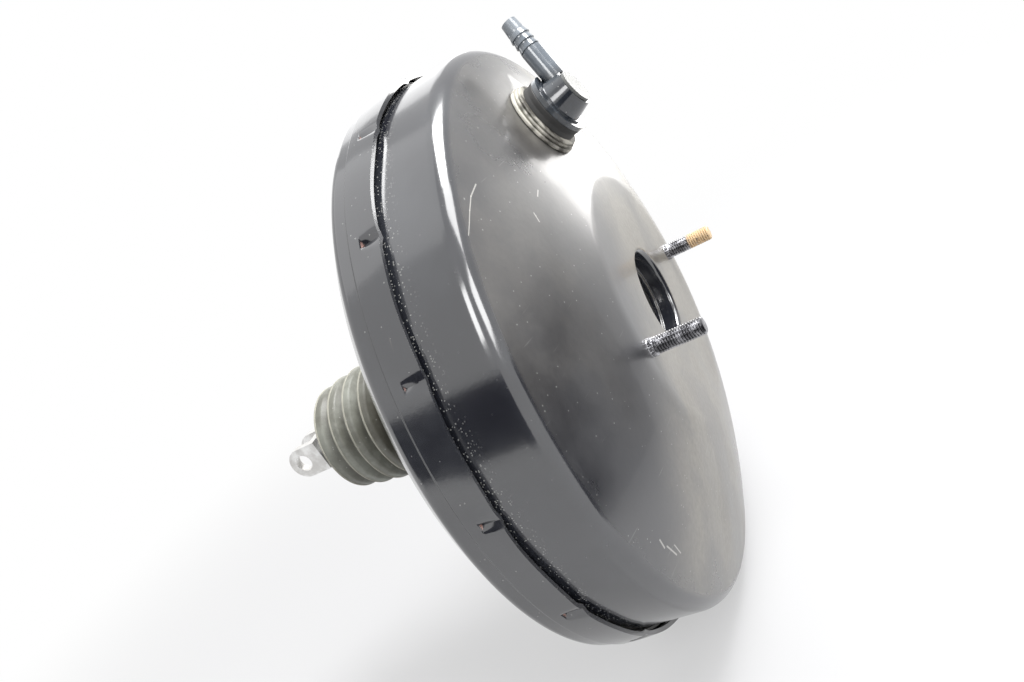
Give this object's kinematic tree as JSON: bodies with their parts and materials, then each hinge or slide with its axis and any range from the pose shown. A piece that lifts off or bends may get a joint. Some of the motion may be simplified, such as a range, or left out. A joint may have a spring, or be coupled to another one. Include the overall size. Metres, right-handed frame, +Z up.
{
  "type": "vacuum brake booster",
  "caption": "Single-diaphragm vacuum brake booster with crimped black shell, check valve, dust boot and clevis rod.",
  "frame": {"origin": "centre of the bulkhead face, between the four rear studs", "axes": "+X along the booster axis towards the master cylinder, +Z up as installed, +Y to the left seen from the pedal"},
  "size_m": [0.2679, 0.3, 0.3],
  "materials": {
    "black_paint": "gloss black paint, dusty and worn",
    "zinc_steel": "zinc plated, dulled",
    "pressed_steel": "plain pressed sheet",
    "rod_steel": "turned",
    "spring_steel": "drawn wire",
    "machined_aluminium": "turned",
    "moulded_piston": "moulded phenolic",
    "black_rubber": "matt",
    "boot_rubber": "weathered, dusty",
    "valve_plastic": "slate grey, glossy",
    "cap_plastic": "pale grey",
    "felt": "felt and open foam"
  },
  "bodies": {
    "shell": {"front_shell": "black_paint", "rear_shell": "black_paint", "front_stiffener_plate": "pressed_steel", "rear_stiffener_plate": "pressed_steel", "master_cylinder_studs": "zinc_steel", "bulkhead_studs": "zinc_steel", "rear_guide_bush": "moulded_piston", "rear_body_seal": "black_rubber", "seal_retainer": "pressed_steel", "front_seal_cup": "pressed_steel", "front_vacuum_seal": "black_rubber", "main_return_spring": "spring_steel", "dust_boot": "boot_rubber", "valve_grommet": "black_rubber"},
    "piston": {"valve_body": "moulded_piston", "diaphragm_plate": "pressed_steel", "diaphragm": "black_rubber", "reaction_disc": "black_rubber", "output_rod": "rod_steel", "output_screw": "rod_steel", "output_rod_retainer": "pressed_steel", "stop_key": "pressed_steel", "poppet": "black_rubber", "poppet_retainer": "pressed_steel", "poppet_spring": "spring_steel", "rod_return_spring": "spring_steel", "air_filter": "felt", "silencer_felt": "felt", "filter_retainer": "pressed_steel"},
    "plunger": {"air_valve_plunger": "machined_aluminium"},
    "rod": {"input_rod": "zinc_steel", "lock_nut": "zinc_steel", "clevis": "zinc_steel", "rod_spring_seat": "pressed_steel"},
    "check_valve": {"check_valve_body": "valve_plastic", "check_valve_cap": "cap_plastic", "check_valve_spring": "spring_steel"},
    "check_disc": {"check_valve_disc": "black_rubber"}
  },
  "joints": [
    {"name": "piston_stroke", "type": "slide", "parent": "shell", "child": "piston", "axis": [1, 0, 0], "range_m": [0, 0.032], "stiffness_N_per_m": 2000, "springref_m": -0.05, "deforming": ["main_return_spring", "diaphragm", "dust_boot"]},
    {"name": "plunger_travel", "type": "slide", "parent": "piston", "child": "plunger", "axis": [1, 0, 0], "range_m": [0, 0.0025], "stiffness_N_per_m": 3000, "springref_m": -0.01, "deforming": ["rod_return_spring", "poppet", "poppet_spring", "dust_boot"]},
    {"name": "rod_swing", "type": "hinge", "parent": "plunger", "child": "rod", "pos_m": [-0.0116, 0, 0], "axis": [0, 1, 0], "range_deg": [-2, 2], "stiffness_Nm_per_rad": 10, "deforming": ["rod_return_spring", "dust_boot"]},
    {"name": "valve_swivel", "type": "hinge", "parent": "shell", "child": "check_valve", "pos_m": [0.09924, 0, 0.1005], "axis": [0.9644, 0, 0.2645], "continuous": true},
    {"name": "check_disc_lift", "type": "slide", "parent": "check_valve", "child": "check_disc", "axis": [0.9644, 0, 0.2645], "range_m": [0, 0.0015], "stiffness_N_per_m": 50, "springref_m": -0.005, "deforming": ["check_valve_spring"]}
  ]
}
